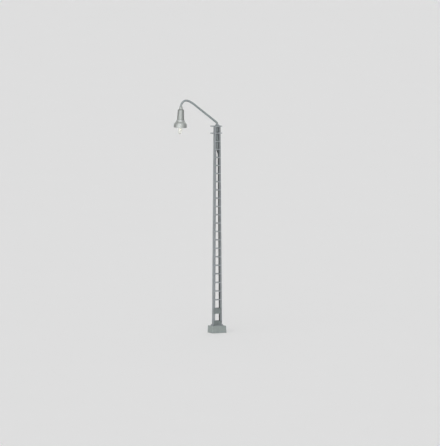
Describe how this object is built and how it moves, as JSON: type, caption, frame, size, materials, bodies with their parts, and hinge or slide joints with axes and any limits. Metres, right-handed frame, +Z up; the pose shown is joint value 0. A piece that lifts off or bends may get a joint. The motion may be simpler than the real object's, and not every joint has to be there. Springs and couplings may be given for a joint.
{
  "type": "model railway lattice mast lamp",
  "caption": "Model railway yard lamp: a tapered lattice mast of two channels with battens on a block foundation, a bent tube arm and a small bell shade with a pull-out bulb.",
  "frame": {"origin": "centre of the foundation's underside, on the mast's vertical axis", "axes": "+Z up the mast; the arm and lamp reach towards -X; the battened faces look along -Y and +Y"},
  "size_m": [0.0371, 0.009, 0.1599],
  "materials": {
    "foundation_plastic": "moulded ABS, satin grey",
    "insulating_plastic": "moulded, black",
    "mast_paint": "satin grey enamel on sheet metal",
    "steel_fastener": "blackened steel bolts",
    "arm_paint": "satin grey enamel on drawn tube",
    "lamp_silver": "silver paint over turned brass",
    "contact_brass": "turned and formed brass",
    "bulb_glass": "clear blown glass, warm",
    "bead_glass": "pressed glass bead",
    "filament_metal": "tungsten coil on nickel posts",
    "black_insulation": "extruded black insulation"
  },
  "bodies": {
    "mast": {"anchor_bolts": "steel_fastener", "arm_tube": "arm_paint", "batten_pair_01": "mast_paint", "batten_pair_02": "mast_paint", "batten_pair_03": "mast_paint", "batten_pair_04": "mast_paint", "batten_pair_05": "mast_paint", "batten_pair_06": "mast_paint", "batten_pair_07": "mast_paint", "batten_pair_08": "mast_paint", "batten_pair_09": "mast_paint", "batten_pair_10": "mast_paint", "batten_pair_11": "mast_paint", "batten_pair_12": "mast_paint", "batten_pair_13": "mast_paint", "batten_pair_14": "mast_paint", "batten_pair_15": "mast_paint", "batten_pair_16": "mast_paint", "batten_pair_17": "mast_paint", "batten_pair_18": "mast_paint", "batten_pair_19": "mast_paint", "batten_pair_20": "mast_paint", "bulb_holder": "insulating_plastic", "centre_contact": "contact_brass", "contact_carrier": "insulating_plastic", "contact_tube_left": "contact_brass", "contact_tube_right": "contact_brass", "foot_gusset_front": "mast_paint", "foot_gusset_rear": "mast_paint", "foundation": "foundation_plastic", "lamp_cap": "lamp_silver", "lamp_neck": "lamp_silver", "lead_wire_a": "black_insulation", "lead_wire_b": "black_insulation", "left_channel": "mast_paint", "lower_clamp_bolts": "steel_fastener", "lower_clamp_front": "mast_paint", "lower_clamp_nuts": "steel_fastener", "lower_clamp_rear": "mast_paint", "lower_tube_saddles": "mast_paint", "mast_cap_plate": "mast_paint", "mast_foot_plate": "mast_paint", "retaining_ring": "lamp_silver", "right_channel": "mast_paint", "shade": "lamp_silver", "shell_contact": "contact_brass", "tie_plate_front": "mast_paint", "tie_plate_rear": "mast_paint", "tube_ferrule": "arm_paint", "upper_clamp_bolts": "steel_fastener", "upper_clamp_front": "mast_paint", "upper_clamp_nuts": "steel_fastener", "upper_clamp_rear": "mast_paint", "upper_tube_guide": "mast_paint"},
    "bulb": {"bulb_bead": "bead_glass", "bulb_cap": "contact_brass", "bulb_filament": "filament_metal", "bulb_glass": "bulb_glass", "bulb_insulator": "bead_glass", "bulb_tip": "contact_brass"}
  },
  "joints": [
    {"name": "bulb_pull", "type": "slide", "parent": "mast", "child": "bulb", "axis": [-0.0401, 0, -0.9992], "range_m": [0, 0.013]}
  ]
}
